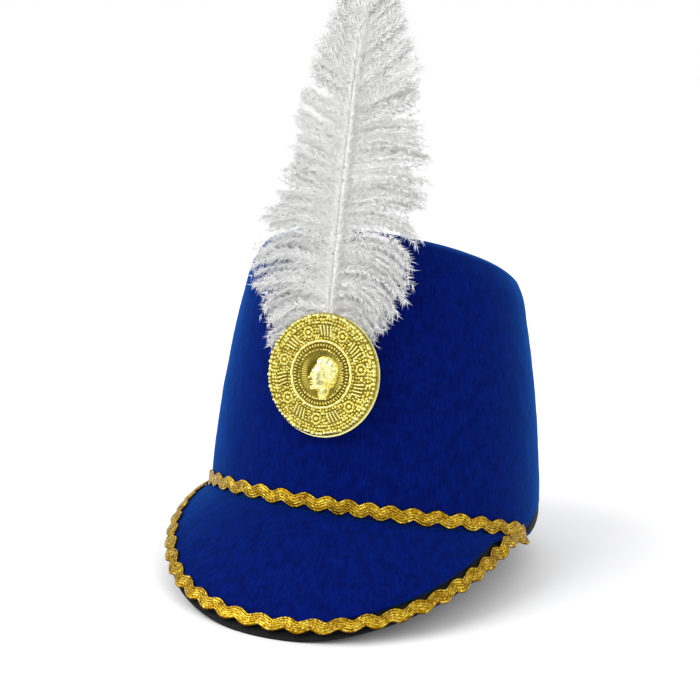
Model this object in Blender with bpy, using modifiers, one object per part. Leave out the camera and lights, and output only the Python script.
# Costume shako: a blocked felt crown with a drooping felt peak, gold ric-rac trims,
# an embossed medallion and an upright white plume. Metres, +Z up, the front faces -Y.
#
# The shapes are worked out in the hat's own frame, whose origin is the centre of the
# crown's lower edge. The empty "resting_hat" then leans that frame back, so that the
# hat rests on its peak's front edge and on the back of its inner band.
import math

import bmesh
import bpy
from mathutils import Matrix, Vector

# Crown
CROWN_WIDTH = 0.190
CROWN_DEPTH = 0.193
CROWN_HEIGHT = 0.1408
CROWN_FELT = 0.0025
TOP_SHARE = 0.771  # width of the top over the width of the lower edge
WALL_SWELL = 0.0407  # how far the wall bows out halfway up, over its radius
TOP_FORWARD = 0.0302  # how far the top's centre stands ahead of the rim's
TOP_TILT = math.radians(7.7)  # the top is higher in front
TOP_ROUND = 0.0188
CROWN_SIDES = 48
# The lower edge arches up behind each end of the peak and comes down again at the back
RIM_RISE = 0.014
RIM_RISE_START = math.radians(82)
RIM_CLIMB = math.radians(26)
RIM_LEVEL = math.radians(10)
RIM_FALL = math.radians(40)
WALL_RING_SHARES = (0.0, 0.1, 0.28, 0.5, 0.72, 0.88, 1.0)
ROUND_STEPS = 4

# Inner band, whose lower edge shows below the felt
BAND_HEIGHT = 0.030
BAND_DROP = 0.0025
BAND_THICKNESS = 0.0014

# Peak: blue felt over a black lining that reaches further
PEAK_WIDTH = 0.0748
PEAK_END_WIDTH = 0.0025
PEAK_HALF_ANGLE = math.radians(85)
PEAK_TAPER = 1.95  # power of the cosine that narrows the peak towards its ends
PEAK_DROOP = math.radians(49.2)
PEAK_END_DROOP = math.radians(31.5)
PEAK_CROWNING = 0.0018
PEAK_FELT = 0.0020
PEAK_LINING = 0.0015
PEAK_LIP = 0.012
PEAK_MOST_INSET = 0.65  # of the peak's width
PEAK_SECTIONS = 29
PEAK_ROWS = 4
# Along the peak's edge, from its left end (-1) to its right end (1): how far the
# middle of the trim lies in from the edge, over the trim's width, and how far the
# felt and the lining stop short of the edge, over the lip.
PEAK_EDGE = (
    # place, trim_in, felt_in, lining_in
    (-1.00, 0.45, 0.15, 0.10),
    (-0.50, 0.45, 0.35, 0.12),
    (-0.28, 0.46, 0.52, 0.00),
    (-0.12, 0.70, 0.58, 0.00),
    (0.02, 0.78, 0.62, 0.00),
    (0.10, 0.72, 0.70, 0.00),
    (0.18, 0.59, 0.80, 0.03),
    (0.30, 0.52, 0.95, 0.15),
    (0.45, 0.50, 1.02, 0.18),
    (0.60, 0.50, 1.12, 0.18),
    (1.00, 0.50, 1.12, 0.18),
)

# Ric-rac
TRIM_WIDTH = 0.0085
TRIM_BRAID = 0.0060  # width of the braid itself, within the wave
TRIM_THICKNESS = 0.0010
TRIM_PITCH = 0.0131
TRIM_STEPS = 6  # sections to a wave
CROWN_TRIM_ANGLE = math.radians(84)
CROWN_TRIM_RISE = 0.0004
PEAK_TRIM_SHARE = 0.88  # share of the peak's half angle that its trim covers
TRIM_END_ROOM = 0.0024
TRIM_SINK = 0.0006  # clear room beside the felt in which the trim sinks to the lining
TRIM_LENGTH_STEPS = 120  # steps in which the edge under the trim is measured

# Medallion
MEDALLION_RADIUS = 0.0312
MEDALLION_CENTRE = 0.0640  # up the front wall from the crown's lower edge
MEDALLION_BACK = 0.0012
MEDALLION_RELIEF = 0.0016
MEDALLION_SIDES = 60
POST_RADIUS = 0.008
POST_SIDES = 24
# Rings of the relief from the edge inwards: radius over the medallion's, height over
# the relief, and how much every second spoke of the ring stands up or down.
MEDALLION_RINGS = (
    # radius, height, knurl
    (1.000, 0.30, 0.00),
    (0.985, 0.85, 0.00),
    (0.945, 0.85, 0.00),
    (0.925, 0.35, 0.00),
    (0.895, 0.60, 0.20),
    (0.840, 0.30, 0.00),
    (0.780, 0.50, 0.22),
    (0.680, 0.50, 0.22),
    (0.600, 0.30, 0.00),
    (0.540, 0.85, 0.00),
    (0.480, 0.80, 0.00),
    (0.455, 0.30, 0.00),
    (0.420, 0.60, 0.22),
    (0.380, 0.20, 0.00),
)
ROSETTE_RING = 0.73  # radius of the ring of rosettes over the medallion's
ROSETTE_RADIUS = 0.0034
ROSETTE_COUNT = 7
ROSETTE_HEIGHT = 0.9
FIELD_RINGS = 9
# Profile head on the medallion, facing the wearer's right: rounded lumps, in shares of
# the head's height, measured from its middle. Height is over the relief.
HEAD_HEIGHT = 0.0145
HEAD_LUMPS = (
    # across, up, half_across, half_up, height
    (0.09, 0.15, 0.34, 0.33, 1.00),
    (-0.08, -0.02, 0.24, 0.32, 0.95),
    (-0.21, 0.10, 0.13, 0.12, 0.80),
    (-0.33, -0.04, 0.09, 0.10, 0.70),
    (-0.25, -0.17, 0.11, 0.08, 0.70),
    (-0.19, -0.29, 0.12, 0.09, 0.75),
    (0.03, -0.18, 0.22, 0.17, 0.85),
    (0.12, -0.42, 0.17, 0.24, 0.60),
)
CURL_RADIUS = 0.10
CURL_COUNT = 9
CURL_HEIGHT = 1.25
CURL_ARC_MIDDLE = (0.10, 0.15)
CURL_ARC_RADIUS = 0.33
CURL_ARC_START = math.radians(150)
CURL_ARC_TURN = math.radians(190)

# Plume
QUILL_ROOT = 0.014  # of the quill's end above the medallion's centre
QUILL_LENGTH = 0.212
QUILL_RADIUS = 0.0015
QUILL_TIP_RADIUS = 0.0009
QUILL_SIDES = 8
QUILL_RINGS = 15
QUILL_SHIFT = -0.0045
QUILL_BOW = 0.006
PLUME_HALF_WIDTH = 0.048
LOCK_COUNT = 14
LOCK_THICKNESS = 0.0022
LOCK_CURVE = 1.4  # power with which a lock rises or droops outwards
LOCK_CLOSENESS = 0.93  # breadth of a lock over the distance between two locks
FIRST_LOCK = 0.05
LAST_LOCK = 0.93
VANE_REACH = 0.72  # reach of the closed vane behind the locks over the locks' reach
VANE_THICKNESS = 0.0010
VANE_SECTIONS = 14
# One lock from the quill to its tip
LOCK_SECTIONS = (
    # outwards, breadth, thickness
    (0.00, 0.90, 0.60),
    (0.25, 1.00, 0.85),
    (0.55, 1.00, 1.00),
    (0.82, 0.72, 0.70),
    (1.00, 0.08, 0.20),
)
# Locks up the quill: reach to the left and to the right over the plume's half width,
# and how far the lock's tip rises over that half width.
PLUME_OUTLINE = (
    # up_the_quill, left, right, rise
    (0.00, 0.42, 0.55, -0.22),
    (0.08, 0.66, 0.78, -0.30),
    (0.18, 0.82, 0.95, -0.32),
    (0.28, 0.84, 1.06, -0.22),
    (0.36, 0.68, 1.04, -0.10),
    (0.46, 0.56, 0.98, -0.02),
    (0.56, 0.52, 0.92, 0.06),
    (0.64, 0.55, 0.82, 0.16),
    (0.74, 0.50, 0.68, 0.26),
    (0.84, 0.36, 0.50, 0.34),
    (0.93, 0.22, 0.32, 0.34),
    (1.00, 0.12, 0.16, 0.30),
)

GAP = 0.0003  # between touching pieces
PEAK_SEAT_GAP = 0.0004
FLATTENED = 0.0010  # how far the soft edges are pressed flat where the hat rests

COLOURS = {
    # name: (red, green, blue, roughness, metallic)
    "blue_felt": (0.002, 0.011, 0.175, 0.95, 0.0),
    "black_lining": (0.012, 0.012, 0.014, 0.85, 0.0),
    "gold_braid": (0.72, 0.42, 0.05, 0.38, 0.85),
    "gold_plastic": (0.85, 0.66, 0.18, 0.25, 0.95),
    "white_feather": (0.78, 0.78, 0.75, 0.80, 0.0),
}


def interpolated(table, place, column):
    """Value of one column of a table at a place, straight between its rows."""
    for low, high in zip(table, table[1:]):
        if place <= high[0]:
            share = (place - low[0]) / (high[0] - low[0])
            return low[column] + (high[column] - low[column]) * max(share, 0.0)
    return table[-1][column]


def clear_scene():
    for old in list(bpy.data.objects):
        bpy.data.objects.remove(old)


def material(name):
    red, green, blue, roughness, metallic = COLOURS[name]
    made = bpy.data.materials.get(name)
    if made is None:
        made = bpy.data.materials.new(name)
        made.use_nodes = True
        shader = made.node_tree.nodes["Principled BSDF"]
        shader.inputs["Base Color"].default_value = (red, green, blue, 1.0)
        shader.inputs["Roughness"].default_value = roughness
        shader.inputs["Metallic"].default_value = metallic
    return made


def add_object(name, shape, colour, frame, collection):
    """Turn a bmesh into an object of the hat's frame, with its own material."""
    mesh = bpy.data.meshes.new(name)
    shape.to_mesh(mesh)
    shape.free()
    mesh.shade_smooth()
    mesh.set_sharp_from_angle(angle=math.radians(40))
    mesh.materials.append(material(colour))
    made = bpy.data.objects.new(name, mesh)
    made.parent = frame
    collection.objects.link(made)
    return made


def solidify(piece, thickness):
    """Give an open surface a wall on its inner side."""
    wall = piece.modifiers.new("wall", "SOLIDIFY")
    wall.thickness = thickness
    wall.offset = -1
    wall.use_even_offset = True


def face_out(shape):
    """Turn the faces of a closed solid outwards."""
    bmesh.ops.recalc_face_normals(shape, faces=shape.faces)
    if shape.calc_volume(signed=True) < 0:
        bmesh.ops.reverse_faces(shape, faces=shape.faces)


def ring_stack(sides, places, cap_first, cap_last):
    """Stack of rings extruded from one circle, ring i placed by places[i](angle).

    The angle is 0 in front and grows towards +X."""
    shape = bmesh.new()
    bmesh.ops.create_circle(shape, cap_ends=cap_first, segments=sides, radius=1)
    edges = list(shape.edges)
    for _ in places[1:]:
        grown = bmesh.ops.extrude_edge_only(shape, edges=edges)["geom"]
        new_verts = {item for item in grown if isinstance(item, bmesh.types.BMVert)}
        bmesh.ops.translate(shape, verts=list(new_verts), vec=(0, 0, 1))
        edges = [
            item
            for item in grown
            if isinstance(item, bmesh.types.BMEdge) and set(item.verts) <= new_verts
        ]
    if cap_last:
        bmesh.ops.edgeloop_fill(shape, edges=edges)
    for vert in shape.verts:
        angle = math.atan2(vert.co.x, -vert.co.y)
        vert.co = places[round(vert.co.z)](angle)
    face_out(shape)
    return shape


def loft(sections):
    """Closed solid through sections that each are a loop of as many points."""
    shape = bmesh.new()
    rings = [[shape.verts.new(point) for point in section] for section in sections]
    for low, high in zip(rings, rings[1:]):
        for i in range(len(low)):
            j = (i + 1) % len(low)
            shape.faces.new((low[i], low[j], high[j], high[i]))
    shape.faces.new(rings[0][::-1])
    shape.faces.new(rings[-1])
    face_out(shape)
    return shape


def crown_outward(angle):
    """Level direction that leaves the crown's oval wall squarely."""
    return Vector(
        (math.sin(angle) / CROWN_WIDTH, -math.cos(angle) / CROWN_DEPTH, 0)
    ).normalized()


def crown_wall(angle, height, inset=0.0):
    """Point of the crown's wall, inset inwards from its outer face."""
    share = height / CROWN_HEIGHT
    narrowing = 1 + (TOP_SHARE - 1) * share + WALL_SWELL * 4 * share * (1 - share)
    across = CROWN_WIDTH / 2 * narrowing * math.sin(angle)
    back = -CROWN_DEPTH / 2 * narrowing * math.cos(angle)
    point = Vector(
        (
            across,
            back - TOP_FORWARD * share,
            height - math.tan(TOP_TILT) * back * share,
        )
    )
    return point - inset * crown_outward(angle)


def crown_round(angle, turn):
    """Point of the rounded top edge, which turns from the wall to the flat top."""
    height = CROWN_HEIGHT - TOP_ROUND
    share = height / CROWN_HEIGHT
    start = crown_wall(angle, height)
    centre = Vector((0, -TOP_FORWARD * share, height))
    up = Vector((0, math.tan(TOP_TILT) * share, 1)).normalized()
    inwards = (centre - start).normalized()
    return start + inwards * TOP_ROUND * (1 - math.cos(turn)) + up * TOP_ROUND * math.sin(turn)


def smooth_step(share):
    share = min(max(share, 0.0), 1.0)
    return share**2 * (3 - 2 * share)


def rim_rise(angle):
    """Height of the felt's lower edge over the level of the peak's seam."""
    past = abs(angle) - RIM_RISE_START
    climb = smooth_step(past / RIM_CLIMB)
    fall = smooth_step((past - RIM_CLIMB - RIM_LEVEL) / RIM_FALL)
    return RIM_RISE * (climb - fall)


def wall_ring(angle, share):
    """Point of the wall, a share of the way from its lower edge to the round edge."""
    low, high = rim_rise(angle), CROWN_HEIGHT - TOP_ROUND
    return crown_wall(angle, low + (high - low) * share)


def build_crown(frame, collection):
    turns = [math.pi / 2 * i / ROUND_STEPS for i in range(ROUND_STEPS, 0, -1)]
    places = [lambda angle, turn=turn: crown_round(angle, turn) for turn in turns]
    shares = reversed(WALL_RING_SHARES)
    places += [lambda angle, share=share: wall_ring(angle, share) for share in shares]
    shape = ring_stack(CROWN_SIDES, places, cap_first=True, cap_last=False)
    top = max(shape.faces, key=lambda face: face.calc_center_median().z)
    if top.normal.z < 0:
        bmesh.ops.reverse_faces(shape, faces=shape.faces)
    solidify(add_object("crown", shape, "blue_felt", frame, collection), CROWN_FELT)


def band_wall(angle, height, inset=0.0):
    return crown_wall(angle, height, CROWN_FELT + GAP + inset)


def band_edge(angle, inset=0.0):
    """Point of the band's lower edge, which shows below the felt."""
    return band_wall(angle, rim_rise(angle) - BAND_DROP, inset)


def build_inner_band(frame, collection, floor):
    inside = BAND_THICKNESS
    places = [
        lambda angle: band_wall(angle, BAND_HEIGHT, inside),
        lambda angle: band_wall(angle, BAND_HEIGHT),
        lambda angle: band_edge(angle),
        lambda angle: band_edge(angle, inside),
    ]
    shape = ring_stack(CROWN_SIDES, places, cap_first=False, cap_last=False)
    rims = [edge for edge in shape.edges if edge.is_boundary]
    bmesh.ops.bridge_loops(shape, edges=rims)
    face_out(shape)
    press_flat(shape, floor)
    add_object("inner_band", shape, "black_lining", frame, collection)


def peak_place(angle):
    return angle / PEAK_HALF_ANGLE


def peak_width(angle):
    narrowing = max(math.cos(math.pi / 2 * peak_place(angle)), 0.0) ** PEAK_TAPER
    return PEAK_END_WIDTH + (PEAK_WIDTH - PEAK_END_WIDTH) * narrowing


def peak_droop(angle):
    return PEAK_DROOP + (PEAK_END_DROOP - PEAK_DROOP) * peak_place(angle) ** 2


def felt_inset(angle):
    inset = PEAK_LIP * interpolated(PEAK_EDGE, peak_place(angle), 2)
    return min(inset, PEAK_MOST_INSET * peak_width(angle))


def lining_width(angle):
    return peak_width(angle) - PEAK_LIP * interpolated(PEAK_EDGE, peak_place(angle), 3)


def peak_point(angle, run, depth):
    """Point of the peak, run outwards from the crown, depth below the felt's top."""
    droop = peak_droop(angle)
    width = peak_width(angle)
    share = min(max(run / width, 0.0), 1.0)
    crowning = PEAK_CROWNING * 4 * share * (1 - share) * width / PEAK_WIDTH
    out = run * math.cos(droop) + (crowning - depth) * math.sin(droop)
    up = -run * math.sin(droop) + (crowning - depth) * math.cos(droop) - PEAK_SEAT_GAP
    return crown_wall(angle, 0) + out * crown_outward(angle) + Vector((0, 0, up))


def peak_row(angle, width, depth):
    """One face of the peak at one angle, from its seam under the crown outwards."""
    level = Vector((0, 0, -PEAK_SEAT_GAP - depth))
    mitre = depth * math.tan(peak_droop(angle) / 2)
    row = [
        crown_wall(angle, 0, CROWN_FELT) + level,
        crown_wall(angle, 0, mitre) + level,
    ]
    for i in range(1, PEAK_ROWS + 1):
        run = mitre + (width - mitre) * i / PEAK_ROWS
        row.append(peak_point(angle, run, depth))
    return row


def peak_angles():
    last = PEAK_SECTIONS - 1
    return [PEAK_HALF_ANGLE * (2 * i / last - 1) for i in range(PEAK_SECTIONS)]


def peak_sheet(top, bottom, width_at):
    sections = []
    for angle in peak_angles():
        width = width_at(angle)
        upper = peak_row(angle, width, top)
        lower = peak_row(angle, width, bottom)
        sections.append(upper + lower[::-1])
    return loft(sections)


def build_peak(frame, collection):
    shape = peak_sheet(0, PEAK_FELT, lambda angle: peak_width(angle) - felt_inset(angle))
    add_object("peak", shape, "blue_felt", frame, collection)


def lining_depths():
    return PEAK_FELT + PEAK_SEAT_GAP, PEAK_FELT + PEAK_SEAT_GAP + PEAK_LINING


def build_peak_lining(frame, collection, floor):
    shape = peak_sheet(*lining_depths(), lining_width)
    press_flat(shape, floor)
    add_object("peak_lining", shape, "black_lining", frame, collection)


def ribbon(length, place):
    """Wavy braid of a length: place(along, across, out) gives its points."""
    waves = max(round(length / TRIM_PITCH), 1)
    count = waves * TRIM_STEPS
    swing = (TRIM_WIDTH - TRIM_BRAID) / 2
    sections = []
    for i in range(count + 1):
        along = length * (i / count - 0.5)
        middle = swing * math.sin(2 * math.pi * waves * i / count)
        low, high = middle - TRIM_BRAID / 2, middle + TRIM_BRAID / 2
        sections.append(
            (
                place(along, low, GAP),
                place(along, high, GAP),
                place(along, high, GAP + TRIM_THICKNESS),
                place(along, low, GAP + TRIM_THICKNESS),
            )
        )
    return loft(sections)


def build_crown_trim(frame, collection):
    radius = (CROWN_WIDTH + CROWN_DEPTH) / 4

    def place(along, across, out):
        height = CROWN_TRIM_RISE + TRIM_WIDTH / 2 + across
        return crown_wall(along / radius, height, -out)

    shape = ribbon(2 * CROWN_TRIM_ANGLE * radius, place)
    add_object("crown_trim", shape, "gold_braid", frame, collection)


def edge_lengths():
    """Angles along the peak's edge and the length of the edge up to each of them."""
    reach = PEAK_TRIM_SHARE * PEAK_HALF_ANGLE
    count = TRIM_LENGTH_STEPS
    angles = [reach * (2 * i / count - 1) for i in range(count + 1)]
    points = [peak_point(angle, peak_width(angle), 0) for angle in angles]
    lengths = [0.0]
    for before, after in zip(points, points[1:]):
        lengths.append(lengths[-1] + (after - before).length)
    return list(zip(lengths, angles))


def edge_slant(angle):
    """Sine of the angle between the peak's edge and the line across the peak."""
    step = math.radians(0.5)
    ends = [peak_point(a, peak_width(a), 0) for a in (angle - step, angle + step)]
    across = peak_point(angle, peak_width(angle), 0) - peak_point(angle, 0, 0)
    along = (ends[1] - ends[0]).normalized()
    return along.cross(across.normalized()).length


def build_peak_trim(frame, collection):
    lengths = edge_lengths()
    whole = lengths[-1][0]

    def place(along, across, out):
        angle = interpolated(lengths, along + whole / 2, 1)
        width = peak_width(angle)
        middle = TRIM_WIDTH * interpolated(PEAK_EDGE, peak_place(angle), 1)
        slant = edge_slant(angle)
        run = max(width - (middle + across) / slant, TRIM_END_ROOM)
        # Where the felt stops clear of the trim, the trim lies on the lining.
        clear = felt_inset(angle) - (middle + TRIM_WIDTH / 2) / slant - GAP
        sunk = min(max(clear / TRIM_SINK, 0.0), 1.0) * PEAK_FELT
        return peak_point(angle, run, sunk - out)

    shape = ribbon(whole, place)
    add_object("peak_trim", shape, "gold_braid", frame, collection)


def medallion_frame():
    """Centre on the crown's wall, then the directions right, up and outwards."""
    centre = crown_wall(0, MEDALLION_CENTRE)
    up = crown_wall(0, MEDALLION_CENTRE + POST_RADIUS) - crown_wall(
        0, MEDALLION_CENTRE - POST_RADIUS
    )
    up.normalize()
    right = Vector((1, 0, 0))
    return centre, right, up, right.cross(up)


def medallion_stand():
    """How far the medallion's back stands off the wall, to leave the quill its room."""
    return 2 * QUILL_RADIUS + 2 * GAP


def lump(across, up, half_across, half_up):
    """Height of a rounded lump of height 1 at a distance from its middle."""
    rest = 1 - (across / half_across) ** 2 - (up / half_up) ** 2
    return math.sqrt(rest) if rest > 0 else 0.0


def head_relief(across, up):
    """Height of the profile head over the relief, at a place on the medallion."""
    x, z = across / HEAD_HEIGHT, up / HEAD_HEIGHT
    height = 0.0
    for place_x, place_z, half_x, half_z, top in HEAD_LUMPS:
        height = max(height, top * lump(x - place_x, z - place_z, half_x, half_z))
    for i in range(CURL_COUNT):
        turn = CURL_ARC_START - CURL_ARC_TURN * i / (CURL_COUNT - 1)
        curl_x = CURL_ARC_MIDDLE[0] + CURL_ARC_RADIUS * math.cos(turn)
        curl_z = CURL_ARC_MIDDLE[1] + CURL_ARC_RADIUS * math.sin(turn)
        curl = lump(x - curl_x, z - curl_z, CURL_RADIUS, CURL_RADIUS)
        height = max(height, CURL_HEIGHT * curl if curl else 0.0)
    return height


def rosette_relief(across, up):
    """Height of the ring of rosettes, each a ring-shaped boss."""
    height = 0.0
    for i in range(ROSETTE_COUNT):
        turn = 2 * math.pi * (i + 0.5) / ROSETTE_COUNT
        middle_x = ROSETTE_RING * MEDALLION_RADIUS * math.sin(turn)
        middle_z = ROSETTE_RING * MEDALLION_RADIUS * math.cos(turn)
        away = math.hypot(across - middle_x, up - middle_z) / ROSETTE_RADIUS
        height = max(height, ROSETTE_HEIGHT * lump(away, 0, 1, 1))
    return height


def build_medallion(frame, collection):
    centre, right, up, outwards = medallion_frame()
    stand = medallion_stand()
    spoke = 2 * math.pi / MEDALLION_SIDES

    def point(radius, angle, height):
        across, rise = radius * math.sin(angle), radius * math.cos(angle)
        return centre + right * across + up * rise + outwards * (stand + height)

    def ring_place(radius, share, knurl):
        def place(angle):
            sign = 1 if round(angle / spoke) % 2 else -1
            across, rise = radius * math.sin(angle), radius * math.cos(angle)
            relief = max(share + sign * knurl, rosette_relief(across, rise))
            return point(radius, angle, MEDALLION_BACK + MEDALLION_RELIEF * relief)

        return place

    def field_place(radius):
        def place(angle):
            across, rise = radius * math.sin(angle), radius * math.cos(angle)
            relief = max(MEDALLION_RINGS[-1][1], head_relief(across, rise))
            return point(radius, angle, MEDALLION_BACK + MEDALLION_RELIEF * relief)

        return place

    places = [lambda angle: point(MEDALLION_RADIUS, angle, 0)]
    for share, height, knurl in MEDALLION_RINGS:
        places.append(ring_place(share * MEDALLION_RADIUS, height, knurl))
    field = MEDALLION_RINGS[-1][0] * MEDALLION_RADIUS
    for i in range(FIELD_RINGS):
        places.append(field_place(field * (1 - (i + 1) / (FIELD_RINGS + 1))))
    shape = ring_stack(MEDALLION_SIDES, places, cap_first=True, cap_last=True)
    add_object("medallion", shape, "gold_plastic", frame, collection)

    bpy.ops.mesh.primitive_cylinder_add(
        vertices=POST_SIDES, radius=POST_RADIUS, depth=medallion_stand() - 2 * GAP
    )
    post = bpy.context.active_object
    post.name = post.data.name = "medallion_post"
    turn = Matrix((right, up, outwards)).transposed().to_4x4()
    place = Matrix.Translation(centre + outwards * medallion_stand() / 2) @ turn
    post.data.materials.append(material("black_lining"))
    for old in list(post.users_collection):
        old.objects.unlink(post)
    collection.objects.link(post)
    post.parent = frame
    post.matrix_basis = place


def quill_point(share):
    """Middle of the quill: up the wall behind the medallion, then straight on."""
    root = MEDALLION_CENTRE + QUILL_ROOT
    height = root + QUILL_LENGTH * share
    steepest = CROWN_HEIGHT - TOP_ROUND
    below = [min(height, steepest) * part for part in (0.5, 0.625, 0.75, 0.875, 1.0)]
    wall = min(crown_wall(0, low).y for low in below)
    rise = crown_wall(0, root).z + QUILL_LENGTH * share
    back = wall - GAP - QUILL_RADIUS + QUILL_BOW * share**2
    return Vector((QUILL_SHIFT, back, rise))


def lock_sections(share, side):
    """Sections of one lock, a flat blade that leaves the quill and droops or rises."""
    column = 2 if side > 0 else 1
    reach = PLUME_HALF_WIDTH * interpolated(PLUME_OUTLINE, share, column)
    rise = PLUME_HALF_WIDTH * interpolated(PLUME_OUTLINE, share, 3)
    spacing = QUILL_LENGTH * (LAST_LOCK - FIRST_LOCK) / (LOCK_COUNT - 1)
    root = quill_point(share)
    start = QUILL_TIP_RADIUS / 2
    sections = []
    for outwards, breadth, thickness in LOCK_SECTIONS:
        along = side * (start + (reach - start) * outwards)
        middle = root + Vector((along, 0, rise * outwards**LOCK_CURVE))
        half = spacing / 2 * LOCK_CLOSENESS * breadth
        thick = LOCK_THICKNESS / 2 * thickness
        sections.append(
            (
                middle + Vector((0, 0, half)),
                middle + Vector((0, -thick, 0)),
                middle + Vector((0, 0, -half)),
                middle + Vector((0, thick, 0)),
            )
        )
    return sections


def vane_sections():
    """Thin closed vane along the quill, which carries the locks."""
    sections = []
    for i in range(VANE_SECTIONS):
        share = FIRST_LOCK + (1 - FIRST_LOCK) * i / (VANE_SECTIONS - 1)
        middle = quill_point(share)
        reach = VANE_REACH * PLUME_HALF_WIDTH
        left = reach * interpolated(PLUME_OUTLINE, share, 1)
        right = reach * interpolated(PLUME_OUTLINE, share, 2)
        drop = reach * interpolated(PLUME_OUTLINE, share, 3)
        sections.append(
            (
                middle + Vector((-left, 0, drop)),
                middle + Vector((0, -VANE_THICKNESS / 2, 0)),
                middle + Vector((right, 0, drop)),
                middle + Vector((0, VANE_THICKNESS / 2, 0)),
            )
        )
    return sections


def add_plume_helper(name, shape, frame, helpers):
    piece = add_object(name, shape, "white_feather", frame, helpers)
    piece.hide_render = True
    piece.display_type = "WIRE"


def build_plume(frame, collection, helpers):
    places = []
    for i in range(QUILL_RINGS):
        share = i / (QUILL_RINGS - 1)
        radius = QUILL_RADIUS + (QUILL_TIP_RADIUS - QUILL_RADIUS) * share
        places.append(
            lambda angle, share=share, radius=radius: quill_point(share)
            + Vector((radius * math.sin(angle), -radius * math.cos(angle), 0))
        )
    quill = ring_stack(QUILL_SIDES, places, cap_first=True, cap_last=True)
    plume = add_object("plume", quill, "white_feather", frame, collection)
    for i in range(LOCK_COUNT):
        share = FIRST_LOCK + (LAST_LOCK - FIRST_LOCK) * i / (LOCK_COUNT - 1)
        for side in (-1, 1):
            name = f"lock_{'right' if side > 0 else 'left'}_{i}"
            add_plume_helper(name, loft(lock_sections(share, side)), frame, helpers)
    add_plume_helper("vane", loft(vane_sections()), frame, helpers)
    fuse = plume.modifiers.new("fused locks", "BOOLEAN")
    fuse.operation = "UNION"
    fuse.operand_type = "COLLECTION"
    fuse.collection = helpers
    fuse.solver = "EXACT"


def resting_frame():
    """Angle the hat leans back by where it rests, and the floor under it.

    The floor touches the lining's edge in front and the band's edge behind."""
    back = band_edge(math.pi)
    top, bottom = lining_depths()
    front = [peak_point(angle, lining_width(angle), bottom) for angle in peak_angles()]
    lean = max(math.atan2(back.z - point.z, back.y - point.y) for point in front)
    level = Vector((0, -math.sin(lean), math.cos(lean)))
    ahead = Vector((0, math.cos(lean), math.sin(lean)))
    height = back.dot(level) + FLATTENED
    outer = [peak_point(angle, lining_width(angle), top) for angle in peak_angles()]
    first = min(point.dot(ahead) for point in front + outer)
    last = max(crown_wall(math.pi, 0).dot(ahead), back.dot(ahead))
    return lean, level, height, (first + last) / 2


def press_flat(shape, floor):
    """Move what would reach below the floor up to it."""
    _, level, height, _ = floor
    for vert in shape.verts:
        vert.co += level * max(height - vert.co.dot(level), 0.0)


def main():
    clear_scene()
    collection = bpy.data.collections.new("shako")
    helpers = bpy.data.collections.new("plume locks")
    bpy.context.scene.collection.children.link(collection)
    bpy.context.scene.collection.children.link(helpers)
    floor = resting_frame()
    lean, _, height, middle = floor
    frame = bpy.data.objects.new("resting_hat", None)
    frame.matrix_world = Matrix.Translation((0, -middle, -height)) @ Matrix.Rotation(-lean, 4, "X")
    collection.objects.link(frame)
    build_crown(frame, collection)
    build_inner_band(frame, collection, floor)
    build_peak(frame, collection)
    build_peak_lining(frame, collection, floor)
    build_crown_trim(frame, collection)
    build_peak_trim(frame, collection)
    build_medallion(frame, collection)
    build_plume(frame, collection, helpers)


main()
